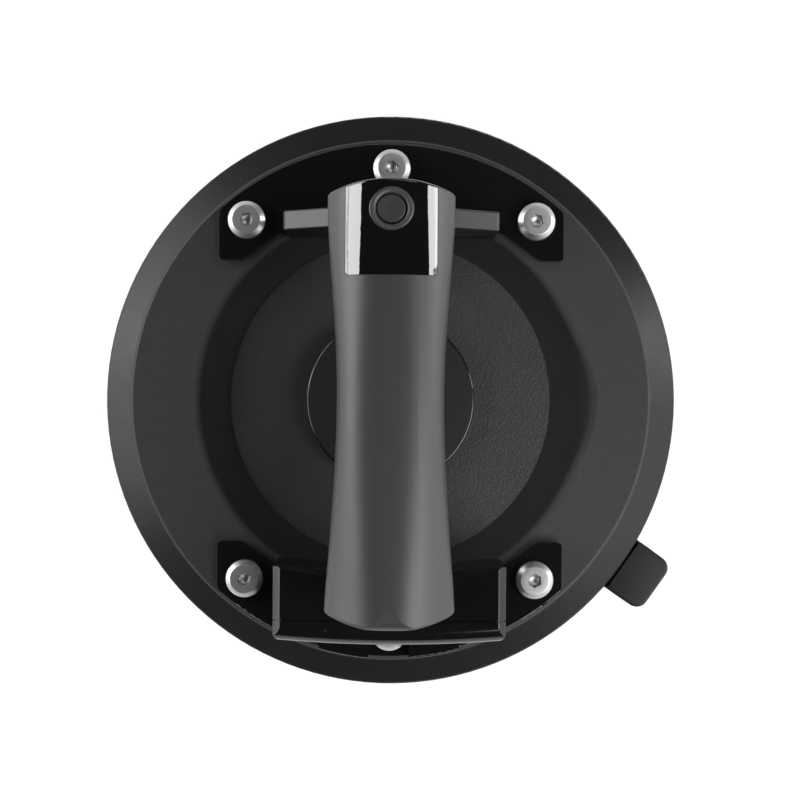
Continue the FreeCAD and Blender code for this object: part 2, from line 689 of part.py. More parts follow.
def screw_posts(low, high):
    return [upright(2.6, x, y, low, high) for x, y in mirrored(SHELL_SCREWS)]


def shell_half(core, cavity, kept, low, high):
    """Half of the core between two heights, hollowed but for what is kept standing inside."""
    return core.common(box(-30, 30, -80, 80, low, high)).cut(cavity.cut(kept))


def handle_lower_shell(core, cavity):
    """Lower half of the core, with posts, ribs and seats for the screws to both pedestals."""
    seats = [upright(HANDLE_HEAD_R + 0.7, x, y, 50, HANDLE_HEAD_Z) for x, y in mirrored(HANDLE_SCREWS)]
    ledges = [box(x, x + 2, CHARGE_BOARD_Y[0] + 2, CHARGE_BOARD_Y[1], 50, SPLIT_Z) for x in (-12, 10)]
    kept = seats + ledges + pump_ribs() + screw_posts(50, SPLIT_Z)
    shell = shell_half(core, cavity, kept, 40, SPLIT_Z)
    cuts = handle_screw_bores() + shell_screw_bores(62, SPLIT_Z)
    cuts += [upright(PIPE_R, 0, PIPE_Y, 50, 60), lead_bore()]
    cuts += [upright(HANDLE_HEAD_R + 0.1, x, y, HANDLE_HEAD_Z, 64) for x, y in mirrored(HANDLE_SCREWS)]
    return shell.cut(cuts)


def shell_screw_bores(low, high):
    return [upright(SHELL_SCREW_R, x, y, low, high) for x, y in mirrored(SHELL_SCREWS)]


def handle_upper_shell(core, cavity):
    """Upper half of the core, with openings under the panel and bosses for the board."""
    bosses = [upright(1.9, sx * x, y, BOARD_TOP_Z, 90) for x, y in BOARD_SCREWS for sx in (-1, 1)]
    kept = bosses + screw_posts(SPLIT_Z, 90)
    shell = shell_half(core, cavity, kept, SPLIT_Z, 95)
    cuts = [upright(SEAT_R, 0, BUTTON_Y, 80, 90), box(-6.5, 6.5, 44, 50, 80, 90)]
    cuts += [socket_slot(0.3, -75, -60)] + shell_screw_bores(SPLIT_Z, 80) + board_screw_bores(BOARD_TOP_Z)
    cuts += [upright(SHELL_HEAD_R, x, y, SHELL_HEAD_Z, 90) for x, y in mirrored(SHELL_SCREWS)]
    return shell.cut(cuts)


def handle_screws():
    screws = []
    for x, y in mirrored(HANDLE_SCREWS):
        shank = upright(HANDLE_SCREW_R, x, y, 46.5, HANDLE_HEAD_Z)
        head = upright(HANDLE_HEAD_R, x, y, HANDLE_HEAD_Z, HANDLE_HEAD_Z + 3)
        screws.append(fuse([shank, head]))
    return Part.makeCompound(screws)


def shell_screws():
    screws = []
    for x, y in mirrored(SHELL_SCREWS):
        shank = upright(SHELL_SCREW_R, x, y, 62.5, SHELL_HEAD_Z)
        head = upright(SHELL_HEAD_R, x, y, SHELL_HEAD_Z, SHELL_HEAD_Z + 1.6)
        screws.append(fuse([shank, head]))
    return Part.makeCompound(screws)


def turned_y(corners):
    """Solid turned about the pump's axis from corners (radius, y, rounding)."""
    solid = outline(corners, xy).revolve(Vector(0, 0, 0), Vector(0, 1, 0), 360)
    solid.translate(Vector(0, 0, PUMP_Z))
    return solid


def around_pump(count, radius, phase=90.0):
    """Places (x, z) on a circle about the pump's axis."""
    angles = [math.radians(phase + 360.0 / count * i) for i in range(count)]
    return [(radius * math.cos(a), PUMP_Z + radius * math.sin(a)) for a in angles]


def pump_screw_holes():
    return [along_y(0.9, 12, HEAD_Y[1], x, z) for x, z in around_pump(3, PUMP_SCREW_R, PUMP_SCREW_PHASE)]


def pump_frame():
    frame = turned_y([
        (3.2, MOTOR_FRONT_Y, 0), (PUMP_R, MOTOR_FRONT_Y, 0.5), (PUMP_R, FRAME_Y, 0), (9, FRAME_Y, 0),
        (9, MOTOR_FRONT_Y + 1.5, 0), (3.2, MOTOR_FRONT_Y + 1.5, 0),
    ])
    return frame.cut(pump_screw_holes())


def eccentric():
    """Crank disc on the motor shaft; its pin drives the wobble plate."""
    disc = along_y(4.5, 10, 13).cut(along_y(SHAFT_R, 10, 13))
    return fuse([disc, along_y(0.8, 13, 17.2, CRANK)])


def drive_plate():
    """Wobble plate with a bore that leaves the crank pin its whole circle."""
    return along_y(8.2, 15.5, 17.5).cut(along_y(CRANK + 1.0, 15, 18))


def diaphragm():
    cups = [along_y(2.6, 17.5, FRAME_Y, x, z) for x, z in around_pump(3, CUP_R)]
    return fuse([along_y(PUMP_R, FRAME_Y, FRAME_Y + 1)] + cups).cut(pump_screw_holes())


def valve_plate():
    plate = along_y(PUMP_R, FRAME_Y + 1, HEAD_Y[0])
    valves = [along_y(0.9, FRAME_Y, HEAD_Y[0], x, z) for x, z in around_pump(3, CUP_R)]
    return plate.cut(valves + pump_screw_holes())


def pump_head():
    """Head with the inlet nipple below and the outlet nipple above."""
    body = turned_y([(0, HEAD_Y[0], 0), (PUMP_R, HEAD_Y[0], 0), (PUMP_R, HEAD_Y[1], 1), (0, HEAD_Y[1], 0)])
    inlet = along_y(PIPE_R, HEAD_Y[1] - 1, 36.6, 0, INLET_Z)
    outlet = along_y(PIPE_R, HEAD_Y[1] - 1, 35, 0, OUTLET_Z)
    ducts = [along_y(0.9, HEAD_Y[0], 37, 0, z) for z in (INLET_Z, OUTLET_Z)]
    return fuse([body, inlet, outlet]).cut(ducts + pump_screw_holes())


def pump_screws():
    screws = []
    for x, z in around_pump(3, PUMP_SCREW_R, PUMP_SCREW_PHASE):
        shank = along_y(0.9, 12.5, HEAD_Y[1], x, z)
        screws.append(fuse([shank, along_y(1.2, HEAD_Y[1], HEAD_Y[1] + 1.1, x, z)]))
    return Part.makeCompound(screws)


def motor_can():
    return turned_y([
        (BUSH_R, MOTOR_FRONT_Y, 0), (MOTOR_R, MOTOR_FRONT_Y, 0.6), (MOTOR_R, MOTOR_REAR_Y, 0),
        (CAN_BORE_R, MOTOR_REAR_Y, 0), (CAN_BORE_R, MOTOR_FRONT_Y - 1, 0), (BUSH_R, MOTOR_FRONT_Y - 1, 0),
    ])


def motor_end_cap():
    return turned_y([
        (BUSH_R, MOTOR_REAR_Y, 0), (CAN_BORE_R, MOTOR_REAR_Y, 0), (MOTOR_R, MOTOR_REAR_Y, 0),
        (MOTOR_R, MOTOR_REAR_Y - 3, 0.8), (BUSH_R, MOTOR_REAR_Y - 3, 0),
    ])


def motor_magnets():
    """Two curved magnets inside the can."""
    ring = along_y(CAN_BORE_R, -22, 4).cut(along_y(8.3, -22, 4))
    gaps = [box(-2.2, 2.2, -23, 5, PUMP_Z - 12, PUMP_Z + 12)]
    return Part.makeCompound(ring.cut(gaps).Solids)


def motor_bushes():
    bushes = []
    for y0, y1 in ((MOTOR_REAR_Y - 3, MOTOR_REAR_Y), (MOTOR_FRONT_Y - 3, MOTOR_FRONT_Y)):
        bushes.append(along_y(BUSH_R, y0, y1).cut(along_y(SHAFT_R + 0.03, y0, y1)))
    return Part.makeCompound(bushes)


def motor_shaft():
    return along_y(SHAFT_R, MOTOR_REAR_Y - 2.5, 13)


def armature():
    """Three-pole core on the shaft."""
    core = along_y(7.9, -19, 1).cut(along_y(SHAFT_R, -19, 1))
    slots = [along_y(1.5, -19, 1, x, z) for x, z in around_pump(3, 6.6)]
    return core.cut(slots)


def pump_mounts():
    rings = [along_y(MOUNT_R, y - 2, y + 2).cut(along_y(MOTOR_R, y - 2, y + 2)) for y in MOUNT_Y]
    return Part.makeCompound(rings)


def check_valve():
    """One-way valve between the pump and the pad, with a port up to the pressure sensor."""
    body = along_y(3.4, 41, 49, 0, INLET_Z)
    nipples = along_y(PIPE_R, 37.4, 53, 0, INLET_Z)
    port = upright(1.2, 0, 46, INLET_Z, 73.0)
    return fuse([body, nipples, port]).cut(along_y(0.9, 37, 54, 0, INLET_Z))


def pump_hose():
    return along_y(HOSE_R, HEAD_Y[1], 41, 0, INLET_Z).cut(along_y(PIPE_R, HEAD_Y[1], 41, 0, INLET_Z))


def pad_hose():
    """Hose that bends from the suction pipe to the check valve."""
    bend = 6.0
    turn_z = INLET_Z - bend
    turn_y = PIPE_Y - bend
    start = yz(PIPE_Y, 59.0)
    middle = yz(turn_y + bend * math.cos(math.pi / 4), turn_z + bend * math.sin(math.pi / 4))
    path = Part.Wire([
        Part.makeLine(start, yz(PIPE_Y, turn_z)),
        Part.Arc(yz(PIPE_Y, turn_z), middle, yz(turn_y, INLET_Z)).toShape(),
        Part.makeLine(yz(turn_y, INLET_Z), yz(49, INLET_Z)),
    ])
    sections = [Part.Wire(Part.makeCircle(r, start, Vector(0, 0, 1))) for r in (HOSE_R, PIPE_R)]
    outer, inner = [path.makePipeShell([s], True, False) for s in sections]
    return outer.cut(inner)


def suction_pipe():
    """Brass pipe from the plate's air channel up through the front wall."""
    return upright(PIPE_R, 0, PIPE_Y, CHANNEL_Z[1], 61).cut(upright(1.0, 0, PIPE_Y, CHANNEL_Z[0], 61))


def pipe_grommet(pad, plate):
    """Rubber bush that seals the pipe between the pad and the foot."""
    bush = upright(GROMMET_R, 0, PIPE_Y, BOWL_Z, GROMMET_TOP_Z).cut(upright(PIPE_R, 0, PIPE_Y, 0, 30))
    return max(bush.cut([pad, plate]).Solids, key=lambda solid: solid.Volume)


def battery_cell():
    cell = Part.makeCylinder(CELL_R, CELL_LENGTH, Vector(-CELL_LENGTH / 2, CELL_Y, CELL_Z), Vector(1, 0, 0))
    button = Part.makeCylinder(3, 1.0, Vector(CELL_LENGTH / 2, CELL_Y, CELL_Z), Vector(1, 0, 0))
    return fuse([cell, button])


def battery_contacts():
    """Flat contact at the positive end, and a stacked contact spring at the other."""
    wall = BOX_HALF - BOX_WALL
    plate = box(CELL_LENGTH / 2 + 1, wall, CELL_Y - 5, CELL_Y + 5, CELL_Z - 5, CELL_Z + 5)
    base = box(-wall, -wall + 0.8, CELL_Y - 6, CELL_Y + 6, CELL_Z - 6, CELL_Z + 6)
    reach = wall - 0.8 - CELL_LENGTH / 2
    cone = Part.makeCone(4.5, 2.5, reach, Vector(-wall + 0.8, CELL_Y, CELL_Z), Vector(1, 0, 0))
    return Part.makeCompound([plate, fuse([base, cone])])


def battery_leads():
    return Part.makeCompound([upright(0.9, sx * 1.1, LEAD_Y, CELL_Z + CELL_R + 0.2, SPLIT_Z) for sx in (-1, 1)])


def motor_leads():
    return Part.makeCompound([along_y(0.6, -42, MOTOR_REAR_Y - 3, sx * 4, SPLIT_Z + 2.2) for sx in (-1, 1)])


def link_ribbon():
    """Flat cable along the pump, turned up at the control board's edge."""
    return fuse([box(-12.4, -12.0, -43, 46, 70.2, 74.6), box(-12.4, -12.0, 42, 46, 74, 77.0)])


def charge_board():
    return box(-12, 12, *CHARGE_BOARD_Y, SPLIT_Z, SPLIT_Z + 1.6)


def charge_socket():
    """Metal shell of the charging socket with its tongue."""
    shell = socket_slot(0, -69.0, -61.8).cut(socket_slot(-0.4, -70, -62.6))
    return fuse([shell, box(-3.2, 3.2, -68, -62, SPLIT_Z + 2.9, SPLIT_Z + 3.6)])


def main():
    outer = handle_form(0, END_ROUND)
    core = handle_form(GRIP)
    cavity = handle_form(CAVITY)
    pad, plate = rubber_pad(), backing_plate()
    pieces = {
        "rubber_pad": pad,
        "backing_plate": plate,
        "seal_ring": seal_ring(),
        "pull_tab": pull_tab(),
        "plate_inserts": plate_inserts(),
        "centre_hub": centre_hub(),
        "intake_filter": intake_filter(),
        "filter_cover": filter_cover(),
        "foot_screws": foot_screws(),
        "front_pedestal": front_pedestal(),
        "rear_housing": rear_housing(),
        "rear_cover": rear_cover(),
        "cover_screws": cover_screws(),
        "suction_pipe": suction_pipe(),
        "pipe_grommet": pipe_grommet(pad, plate),
        "handle_lower_shell": handle_lower_shell(core, cavity),
        "handle_upper_shell": handle_upper_shell(core, cavity),
        "grip_sleeve": grip_sleeve(outer, core),
        "handle_screws": handle_screws(),
        "shell_screws": shell_screws(),
        "control_panel": control_panel(outer, core),
        "button_bezel": button_bezel(),
        "button_cap": button_cap(),
        "button_dome": button_dome(),
        "tact_switch": tact_switch(),
        "switch_plunger": switch_plunger(),
        "control_board": control_board(),
        "board_screws": board_screws(),
        "status_display": status_display(),
        "pressure_sensor": pressure_sensor(),
        "check_valve": check_valve(),
        "pump_hose": pump_hose(),
        "pad_hose": pad_hose(),
        "pump_head": pump_head(),
        "valve_plate": valve_plate(),
        "diaphragm": diaphragm(),
        "drive_plate": drive_plate(),
        "pump_frame": pump_frame(),
        "pump_screws": pump_screws(),
        "eccentric": eccentric(),
        "motor_shaft": motor_shaft(),
        "armature": armature(),
        "motor_can": motor_can(),
        "motor_magnets": motor_magnets(),
        "motor_end_cap": motor_end_cap(),
        "motor_bushes": motor_bushes(),
        "pump_mounts": pump_mounts(),
        "battery_cell": battery_cell(),
        "battery_contacts": battery_contacts(),
        "battery_leads": battery_leads(),
        "motor_leads": motor_leads(),
        "link_ribbon": link_ribbon(),
        "charge_board": charge_board(),
        "charge_socket": charge_socket(),
    }
    os.makedirs("parts", exist_ok=True)
    for name, shape in pieces.items():
        shape.exportStep(f"parts/{name}.step")


main()
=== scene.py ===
"""The looks of the tile lifter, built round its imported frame. Pieces are drawn in millimetres up to solid()."""

import json
import math

import bmesh
import bpy
from mathutils import Matrix, Vector


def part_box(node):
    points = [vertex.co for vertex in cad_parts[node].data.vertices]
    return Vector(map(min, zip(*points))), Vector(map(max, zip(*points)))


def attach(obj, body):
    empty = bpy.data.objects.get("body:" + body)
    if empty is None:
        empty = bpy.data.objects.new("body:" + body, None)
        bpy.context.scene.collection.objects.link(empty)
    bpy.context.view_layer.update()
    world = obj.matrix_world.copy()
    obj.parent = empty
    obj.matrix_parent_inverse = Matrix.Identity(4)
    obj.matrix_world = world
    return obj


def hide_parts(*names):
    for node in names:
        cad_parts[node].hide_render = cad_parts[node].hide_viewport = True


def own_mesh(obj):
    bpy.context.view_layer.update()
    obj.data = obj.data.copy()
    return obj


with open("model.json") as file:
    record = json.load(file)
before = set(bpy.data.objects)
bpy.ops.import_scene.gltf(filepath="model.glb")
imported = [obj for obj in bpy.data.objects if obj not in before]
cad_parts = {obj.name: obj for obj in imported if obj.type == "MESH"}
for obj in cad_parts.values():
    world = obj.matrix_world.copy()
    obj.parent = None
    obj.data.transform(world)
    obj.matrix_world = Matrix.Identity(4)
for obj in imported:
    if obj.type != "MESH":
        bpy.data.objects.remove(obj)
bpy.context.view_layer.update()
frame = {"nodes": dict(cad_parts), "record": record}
record = frame["record"]
scene = bpy.context.scene
MM = 0.001


def span(node):
    """Lowest and highest corner of a CAD node in millimetres."""
    low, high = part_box(node)
    return Vector(low) / MM, Vector(high) / MM


PAD_TOP = span("rubber_pad")[1]
DISC_R, PLATEAU_Z = PAD_TOP.x, PAD_TOP.z
FOOT_TOP_Z = PLATEAU_Z + 4.0
CORNER_SCREW_Y = 61.7
HEAD_R, HEAD_FLAT_R, HEAD_HEIGHT = 6.4, 4.8, 4.0
SHANK_R, SHANK_DEPTH = 2.9, 6.0
SOCKET_ACROSS, SOCKET_DEPTH, DRILL_DEPTH = 4.1, 2.2, 1.3
SOCKET_TURNS = (8, 22, 48, 31, 14, 40)
CAP_R, CAP_GAP, CAP_STEM_R = 4.3, 0.3, 1.7
FLANGE_R, FLANGE_LOW_Z, FLANGE_HIGH_Z = 5.4, 84.0, 84.8
RING_SEAT_IN, RING_SEAT_HIGH = 0.9, 0.75
SKIRT_INNER_R, SKIRT_FOOT_R, SKIRT_TOP_R = 4.4, 5.1, 5.0
TAB_ANGLE = math.radians(-35.0)
TAB_ROOT_R, TAB_REACH, TAB_WIDTH = 100.4, 115.6, 20.5
TAB_CORNER, TAB_EDGE = 4.2, 0.85

# Profiles (radius, z, rounding) of the trim
BOWL_FILLET = [(56.2, 6.6, 0), (58.6, 6.6, 0), (58.6, 8.2, 0.2), (57.6, 7.35, 0.6), (56.2, 7.12, 0.1)]
MOULD_LINE = [
    (DISC_R - 0.6, 4.6, 0), (DISC_R + 0.15, 4.75, 0.05), (DISC_R + 0.15, 5.05, 0.05), (DISC_R - 0.6, 5.2, 0),
]

# Materials: roughness, its spread, grain size and depth in mm, tone change, specular level
FINISHES = {
    "rubber": (0.50, 0.05, 0.60, 0.060, 0.22, 0.35),
    "seal_rubber": (0.50, 0.06, 0.9, 0.010, 0.15, 0.5),
    "tab_rubber": (0.42, 0.06, 1.2, 0.010, 0.15, 0.3),
    "plate_black": (0.46, 0.06, 0.80, 0.160, 0.32, 0.7),
    "hub_black": (0.60, 0.06, 0.75, 0.050, 0.25, 0.30),
    "gloss_black": (0.12, 0.03, 6.0, 0.004, 0.10, 0.5),
    "grip_rubber": (0.44, 0.03, 0.25, 0.006, 0.06, 0.6),
    "panel_black": (0.03, 0.01, 9.0, 0.001, 0.05, 1.0),
    "bezel_black": (0.38, 0.04, 0.4, 0.003, 0.10, 0.5),
    "button_black": (0.50, 0.05, 0.3, 0.008, 0.12, 0.5),
    "zinc": (0.42, 0.06, 0.5, 0.004, 0.08, 0.5),
    "steel": (0.30, 0.06, 0.5, 0.003, 0.08, 0.5),
    "brass": (0.28, 0.06, 0.5, 0.003, 0.10, 0.5),
    "copper": (0.30, 0.08, 0.6, 0.020, 0.15, 0.5),
}
METALS = {"zinc", "steel", "brass", "copper"}
PLAIN_FINISH = (0.40, 0.06, 0.8, 0.006, 0.10, 0.5)
# Base colours that differ from the record's
TONES = {
    "rubber": (0.037, 0.037, 0.0395),
    "plate_black": (0.019, 0.019, 0.020),
    "hub_black": (0.006, 0.006, 0.0065),
    "grip_rubber": (0.037, 0.037, 0.037),
    "gloss_black": (0.006, 0.006, 0.0065),
    "panel_black": (0.004, 0.004, 0.0045),
    "tab_rubber": (0.008, 0.0085, 0.011),
    "bezel_black": (0.055, 0.055, 0.055),
    "zinc": (0.62, 0.62, 0.61),
}
# Curves over a coordinate: "radius" from the disc's axis or "height", each stop at (mm, value)
# Painted shade: below the plateau, on the bowl wall and the outer slope, the rubber's colour is darkened to 0.16 in
# place of shade
PAINTED_SHADE_CURVES = {
    "rubber": ("height", [(PLATEAU_Z - 1.2, 0.16), (PLATEAU_Z - 0.1, 1.0)]),
}
ROUGHNESS_CURVES = {
    "rubber": ("radius", [(66.0, 0.85), (71.0, 0.55), (89.0, 0.50), (91.0, 0.40)]),
    "wing_black": ("height", [(FOOT_TOP_Z + 1, 0.12), (FOOT_TOP_Z + 6, 0.36)]),
}


def noise(nodes, links, coordinates, size, detail=3.0):
    texture = nodes.new("ShaderNodeTexNoise")
    texture.inputs["Scale"].default_value = 1 / (size * MM)
    texture.inputs["Detail"].default_value = detail
    links.new(coordinates, texture.inputs["Vector"])
    return texture.outputs["Fac"]


def calculate(nodes, links, operation, first, second):
    node = nodes.new("ShaderNodeMath")
    node.operation = operation
    for socket, value in zip(node.inputs, (first, second)):
        if isinstance(value, (int, float)):
            socket.default_value = value
        else:
            links.new(value, socket)
    return node.outputs["Value"]


def curve(nodes, links, coordinates, axis, stops):
    """Value that runs straight between the stops along the radius or the height."""
    split = nodes.new("ShaderNodeSeparateXYZ")
    if axis == "height":
        links.new(coordinates, split.inputs["Vector"])
        place = split.outputs["Z"]
    else:
        flat = nodes.new("ShaderNodeVectorMath")
        flat.operation = "MULTIPLY"
        flat.inputs[1].default_value = (1, 1, 0)
        links.new(coordinates, flat.inputs[0])
        length = nodes.new("ShaderNodeVectorMath")
        length.operation = "LENGTH"
        links.new(flat.outputs["Vector"], length.inputs[0])
        place = length.outputs["Value"]
    value = stops[0][1]
    for (start, low), (end, high) in zip(stops, stops[1:]):
        step = nodes.new("ShaderNodeMapRange")
        step.inputs["From Min"].default_value = start * MM
        step.inputs["From Max"].default_value = end * MM
        step.inputs["To Min"].default_value = 0.0
        step.inputs["To Max"].default_value = high - low
        links.new(place, step.inputs["Value"])
        value = calculate(nodes, links, "ADD", value, step.outputs["Result"])
    return value


def finish(name, slot):
    """Procedural material for one of the record's slots; its name is the slot's or a variant's."""
    if name in bpy.data.materials and bpy.data.materials[name].get("dressed"):
        return bpy.data.materials[name]
    plain = next(m["base_color"] for m in record["materials"] if m["slot"] == slot)
    colour = TONES.get(name) or TONES.get(slot) or plain
    roughness, spread, grain, depth, tone, specular = FINISHES.get(name) or FINISHES.get(slot) or PLAIN_FINISH
    material = bpy.data.materials.get(name) or bpy.data.materials.new(name)
    material["dressed"] = True
    material.use_nodes = True
    nodes, links = material.node_tree.nodes, material.node_tree.links
    nodes.clear()
    shader = nodes.new("ShaderNodeBsdfPrincipled")
    links.new(shader.outputs["BSDF"], nodes.new("ShaderNodeOutputMaterial").inputs["Surface"])
    shader.inputs["Metallic"].default_value = 1.0 if slot in METALS else 0.0
    shader.inputs["Specular IOR Level"].default_value = specular
    place = nodes.new("ShaderNodeTexCoord").outputs["Object"]

    mottle = nodes.new("ShaderNodeMix")
    mottle.data_type = "RGBA"
    mottle.inputs["A"].default_value = [c * (1 - tone) for c in colour] + [1]
    mottle.inputs["B"].default_value = [c * (1 + tone) for c in colour] + [1]
    links.new(noise(nodes, links, place, grain * 2, 4.0), mottle.inputs["Factor"])
    shade = mottle.outputs["Result"]
    # Painted shade: the colour is scaled down along the curve, darker where shade falls below the plateau
    if name in PAINTED_SHADE_CURVES:
        dim = nodes.new("ShaderNodeVectorMath")
        dim.operation = "SCALE"
        links.new(shade, dim.inputs["Vector"])
        links.new(curve(nodes, links, place, *PAINTED_SHADE_CURVES[name]), dim.inputs["Scale"])
        shade = dim.outputs["Vector"]
    links.new(shade, shader.inputs["Base Color"])

    gloss = nodes.new("ShaderNodeMapRange")
    gloss.inputs["To Min"].default_value = -spread
    gloss.inputs["To Max"].default_value = spread
    links.new(noise(nodes, links, place, 12.0, 5.0), gloss.inputs["Value"])
    level = curve(nodes, links, place, *ROUGHNESS_CURVES[name]) if name in ROUGHNESS_CURVES else roughness
    links.new(calculate(nodes, links, "ADD", gloss.outputs["Result"], level), shader.inputs["Roughness"])

    bump = nodes.new("ShaderNodeBump")
    bump.inputs["Distance"].default_value = depth * MM
    links.new(noise(nodes, links, place, grain, 2.0), bump.inputs["Height"])
    links.new(bump.outputs["Normal"], shader.inputs["Normal"])
    return material


VARIANTS = {"front_pedestal": "wing_black"}
for name, node in frame["nodes"].items():
    for place in node.material_slots:
        slot = place.material.name
        place.material = finish(VARIANTS.get(name, slot), slot)


# Pieces
def rounded(corners, closed=True, steps=5):
    """Points through the corners (a, b, radius), with an arc at each that has a radius."""
    points = []
    count = len(corners)
    for i, (a, b, radius) in enumerate(corners):
        here = Vector((a, b))
        if radius <= 0 or (not closed and i in (0, count - 1)):
            points.append(here)
            continue
        back = (Vector(corners[i - 1][:2]) - here).normalized()
        on = (Vector(corners[(i + 1) % count][:2]) - here).normalized()
        half = back.angle(on) / 2
        centre = here + (back + on).normalized() * (radius / math.sin(half))
        start = here + back * (radius / math.tan(half))
        end = here + on * (radius / math.tan(half))
        turn = (start - centre).angle_signed(end - centre)
        for k in range(steps + 1):
            arm = (start - centre).copy()
            arm.rotate(Matrix.Rotation(-turn * k / steps, 2))
            points.append(centre + arm)
    return points


def rings(form, sections, close=True):
    """Faces between rings of points (x, y, z), where a ring of one point is a tip. Gives the rings' vertices."""
    rows = [[form.verts.new(point) for point in section] for section in sections]
    pairs = list(zip(rows, rows[1:] + rows[:1] if close else rows[1:]))
    for low, high in pairs:
        count = max(len(low), len(high))
        for i in range(count):
            j = (i + 1) % count
            corners = [low[i % len(low)], low[j % len(low)], high[j % len(high)], high[i % len(high)]]
            face = list(dict.fromkeys(corners))
            if len(face) > 2:
                form.faces.new(face)
    return rows


def circle(radius, centre, z, around, turn=0.0):
    angles = [2 * math.pi * i / around + turn for i in range(around)]
    return [(centre[0] + radius * math.cos(a), centre[1] + radius * math.sin(a), z) for a in angles]


def hexagon(across, centre, z, around, turn):
    """Points spread evenly round a hexagon, with one on each corner."""
    points = []
    for i in range(around):
        angle = 2 * math.pi * i / around
        off = (angle % (math.pi / 3)) - math.pi / 6
        radius = across / 2 / math.cos(off)
        points.append((centre[0] + radius * math.cos(angle + turn), centre[1] + radius * math.sin(angle + turn), z))
    return points


def turned(corners, y=0, around=96, steps=5):
    """Mesh turned about an upright axis at x = 0, from corners that start and end on it or go round a section."""
    on_axis = corners[0][0] == 0
    sections = []
    for radius, z in rounded(corners, closed=not on_axis, steps=steps):
        sections.append(circle(radius, (0, y), z, around) if radius > 1e-6 else [(0, y, z)])
    form = bmesh.new()
    rings(form, sections, close=not on_axis)
    return form


def solid(name, form, body, slot, look=None, replaced=(), sharp=40):
    """Piece from a mesh drawn in millimetres, smooth except where its faces turn by more than sharp degrees."""
    bmesh.ops.recalc_face_normals(form, faces=form.faces)
    bmesh.ops.scale(form, vec=(MM, MM, MM), verts=form.verts)
    mesh = bpy.data.meshes.new(name)
    form.to_mesh(mesh)
    form.free()
    mesh.shade_smooth()
    mesh.set_sharp_from_angle(angle=math.radians(sharp))
    mesh.materials.append(finish(look or slot, slot))
    piece = bpy.data.objects.new(name, mesh)
    scene.collection.objects.link(piece)
    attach(piece, body)
    if replaced:
        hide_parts(*replaced)
    return piece


def screw_places():
    """Middles (x, y) of the six foot screws."""
    high = span("foot_screws")[1]
    x, y = high.x - HEAD_R, high.y - HEAD_R
    return [(sx * x, sy * CORNER_SCREW_Y) for sx in (-1, 1) for sy in (1, -1)] + [(0, y), (0, -y)]


def foot_screw(form, centre, degrees):
    """Flat bevelled head with a hexagon socket whose drilled bottom is a cone."""
    around, turn, top = 60, math.radians(degrees), FOOT_TOP_Z + HEAD_HEIGHT
    low, floor = FOOT_TOP_Z - SHANK_DEPTH, top - SOCKET_DEPTH
    head = rounded([
        (SHANK_R, FOOT_TOP_Z, 0), (HEAD_R, FOOT_TOP_Z, 0), (HEAD_R, top - (HEAD_R - HEAD_FLAT_R), 0.25),
        (HEAD_FLAT_R, top, 0.2), (SOCKET_ACROSS / 2 + 0.9, top, 0),
    ], closed=False, steps=3)
    sections = [[(*centre, low)], circle(SHANK_R, centre, low, around, turn)]
    sections += [circle(radius, centre, z, around, turn) for radius, z in head]
    sections += [hexagon(SOCKET_ACROSS + 0.3, centre, top, around, turn)]
    sections += [hexagon(SOCKET_ACROSS, centre, z, around, turn) for z in (top - 0.2, floor)]
    sections += [circle(SOCKET_ACROSS / 2 - 0.25, centre, floor, around, turn), [(*centre, floor - DRILL_DEPTH)]]
    rings(form, sections, close=False)


def foot_screws():
    form = bmesh.new()
    for centre, degrees in zip(screw_places(), SOCKET_TURNS):
        foot_screw(form, centre, degrees)
    solid("foot_screw_set", form, "lifter", "zinc", replaced=("foot_screws",), sharp=28)


def hub_cover():
    """Thin round plate over the hub, which leaves only the hub's own edge to be seen."""
    high = span("centre_hub")[1]
    edge, low, top = high.x - 0.7, high.z - 0.3, high.z + 0.12
    form = turned([(0, low, 0), (edge, low, 0), (edge, top, 0.1), (0, top, 0)], around=144)
    solid("hub_cover_plate", form, "lifter", "plate_black", look="hub_black")


def pad_trim():
    """Fillet that fills the joint round the bowl's floor, and the mould line round the rim."""
    solid("bowl_fillet", turned(BOWL_FILLET, around=144, steps=3), "lifter", "rubber", sharp=60)
    solid("rim_mould_line", turned(MOULD_LINE, around=180, steps=2), "lifter", "rubber")


def button():
    """Cap with a shallow finger dish, inside a soft ring that slopes in to it."""
    low, high = span("button_bezel")
    y, edge, top, bore = (low.y + high.y) / 2, high.x, high.z, CAP_R + CAP_GAP
    seat_r, step_z = edge - RING_SEAT_IN, low.z + RING_SEAT_HIGH
    form = turned([
        (bore, low.z, 0), (seat_r, low.z, 0), (seat_r, step_z, 0), (edge, step_z, 0), (edge, top - 0.45, 0.5),
        (edge - 1.0, top - 0.05, 1.2), (CAP_R + 0.65, top - 0.5, 0.5), (bore, top - 1.3, 0.1),
    ], y, steps=6)
    solid("button_ring", form, "lifter", "bezel_black", replaced=("button_bezel",))
    low, high = span("button_cap")
    top = high.z
    form = turned([
        (0, low.z, 0), (CAP_STEM_R, low.z, 0), (CAP_STEM_R, FLANGE_LOW_Z, 0), (FLANGE_R, FLANGE_LOW_Z, 0),
        (FLANGE_R, FLANGE_HIGH_Z, 0), (CAP_R, FLANGE_HIGH_Z, 0), (CAP_R, top, 0.45),
        (CAP_R - 1.1, top - 0.02, 0.6), (CAP_R - 2.6, top - 0.22, 2.0), (0, top - 0.3, 0),
    ], y)
    solid("button_cap_dished", form, "button", "button_black", replaced=("button_cap",))


def button_skirt():
    """Silicone skirt under the cap."""
    low, high = span("button_dome")
    y, tall, travel = (low.y + high.y) / 2, high.z - low.z, 0.8
    form = turned([
        (SKIRT_INNER_R, low.z, 0), (SKIRT_FOOT_R, low.z, 0), (SKIRT_TOP_R, high.z, 0), (SKIRT_INNER_R, high.z, 0),
    ], y, around=64)
    slot = frame["nodes"]["button_dome"].material_slots[0].material.name
    skirt = solid("button_skirt", form, "lifter", slot, replaced=("button_dome",))
    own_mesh(skirt)


